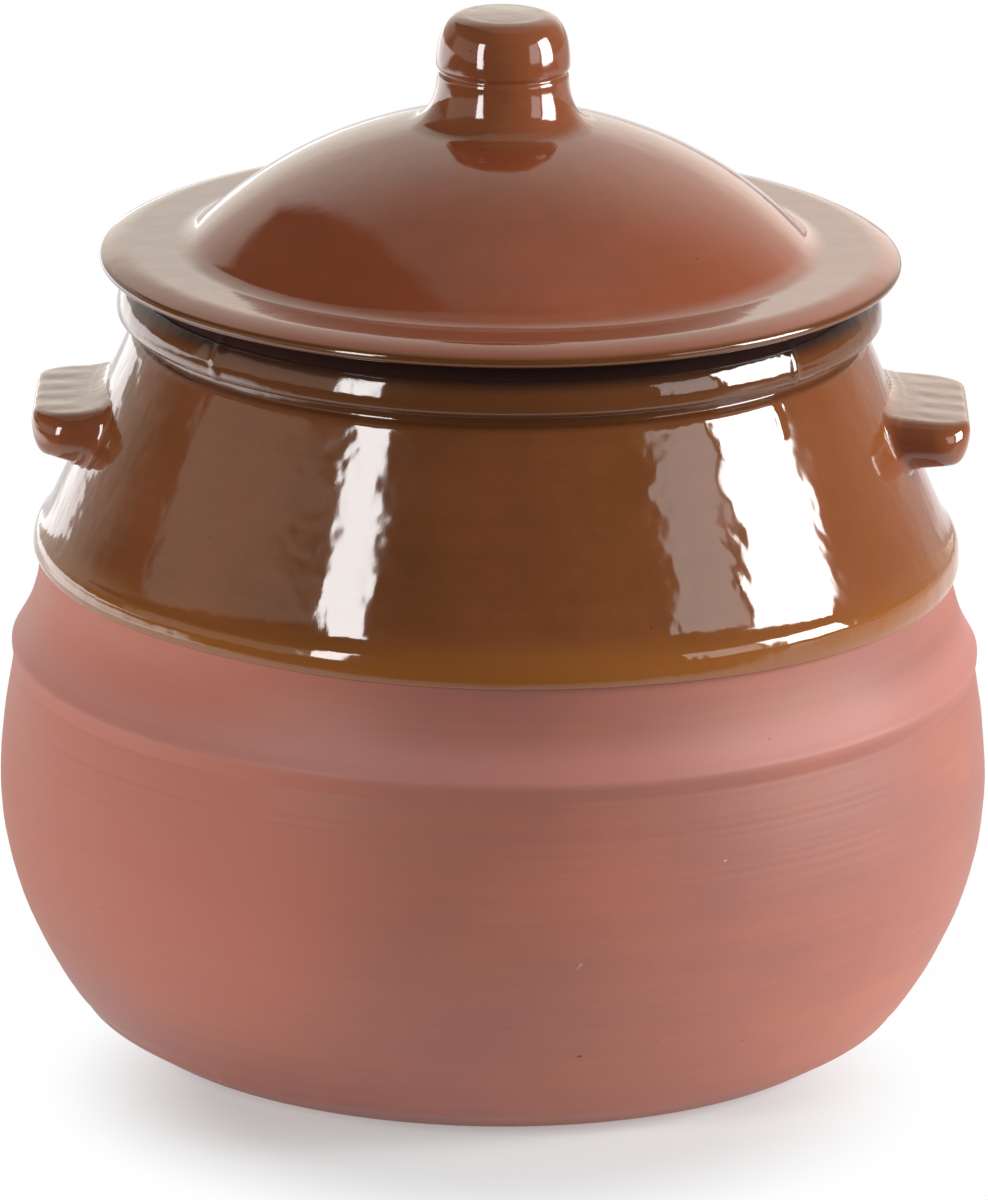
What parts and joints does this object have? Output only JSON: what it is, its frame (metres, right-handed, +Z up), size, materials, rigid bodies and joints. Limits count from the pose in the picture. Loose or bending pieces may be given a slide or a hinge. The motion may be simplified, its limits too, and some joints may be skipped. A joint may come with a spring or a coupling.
{
  "type": "lidded earthenware bean pot",
  "caption": "Round-bellied earthenware cooking pot with a brown glazed shoulder, fluted shelf lugs and a loose domed lid with a knob.",
  "frame": {"origin": "on the table, under the pot's axis, at the middle of its resting face", "axes": "+Z up along the pot's axis, X through the two lugs, -Y towards the viewer of the picture"},
  "size_m": [0.24, 0.24, 0.2504],
  "materials": {
    "terracotta": "matt unglazed fired clay with fine throwing lines",
    "brown_glaze": "glossy brown lead-style glaze over red clay",
    "lining_glaze": "glossy honey-brown lining glaze",
    "lid_glaze": "glossy red-brown glaze"
  },
  "bodies": {
    "pot": {"pot_body": "terracotta", "outer_glaze": "brown_glaze", "inner_glaze": "lining_glaze", "left_lug": "brown_glaze", "right_lug": "brown_glaze"},
    "lid": {"lid_body": "terracotta", "lid_glaze": "lid_glaze", "lid_knob": "brown_glaze"}
  },
  "joints": [
    {"name": "lid_lift", "type": "slide", "parent": "pot", "child": "lid", "axis": [0, 0, 1], "range_m": [0, 0.15]}
  ]
}
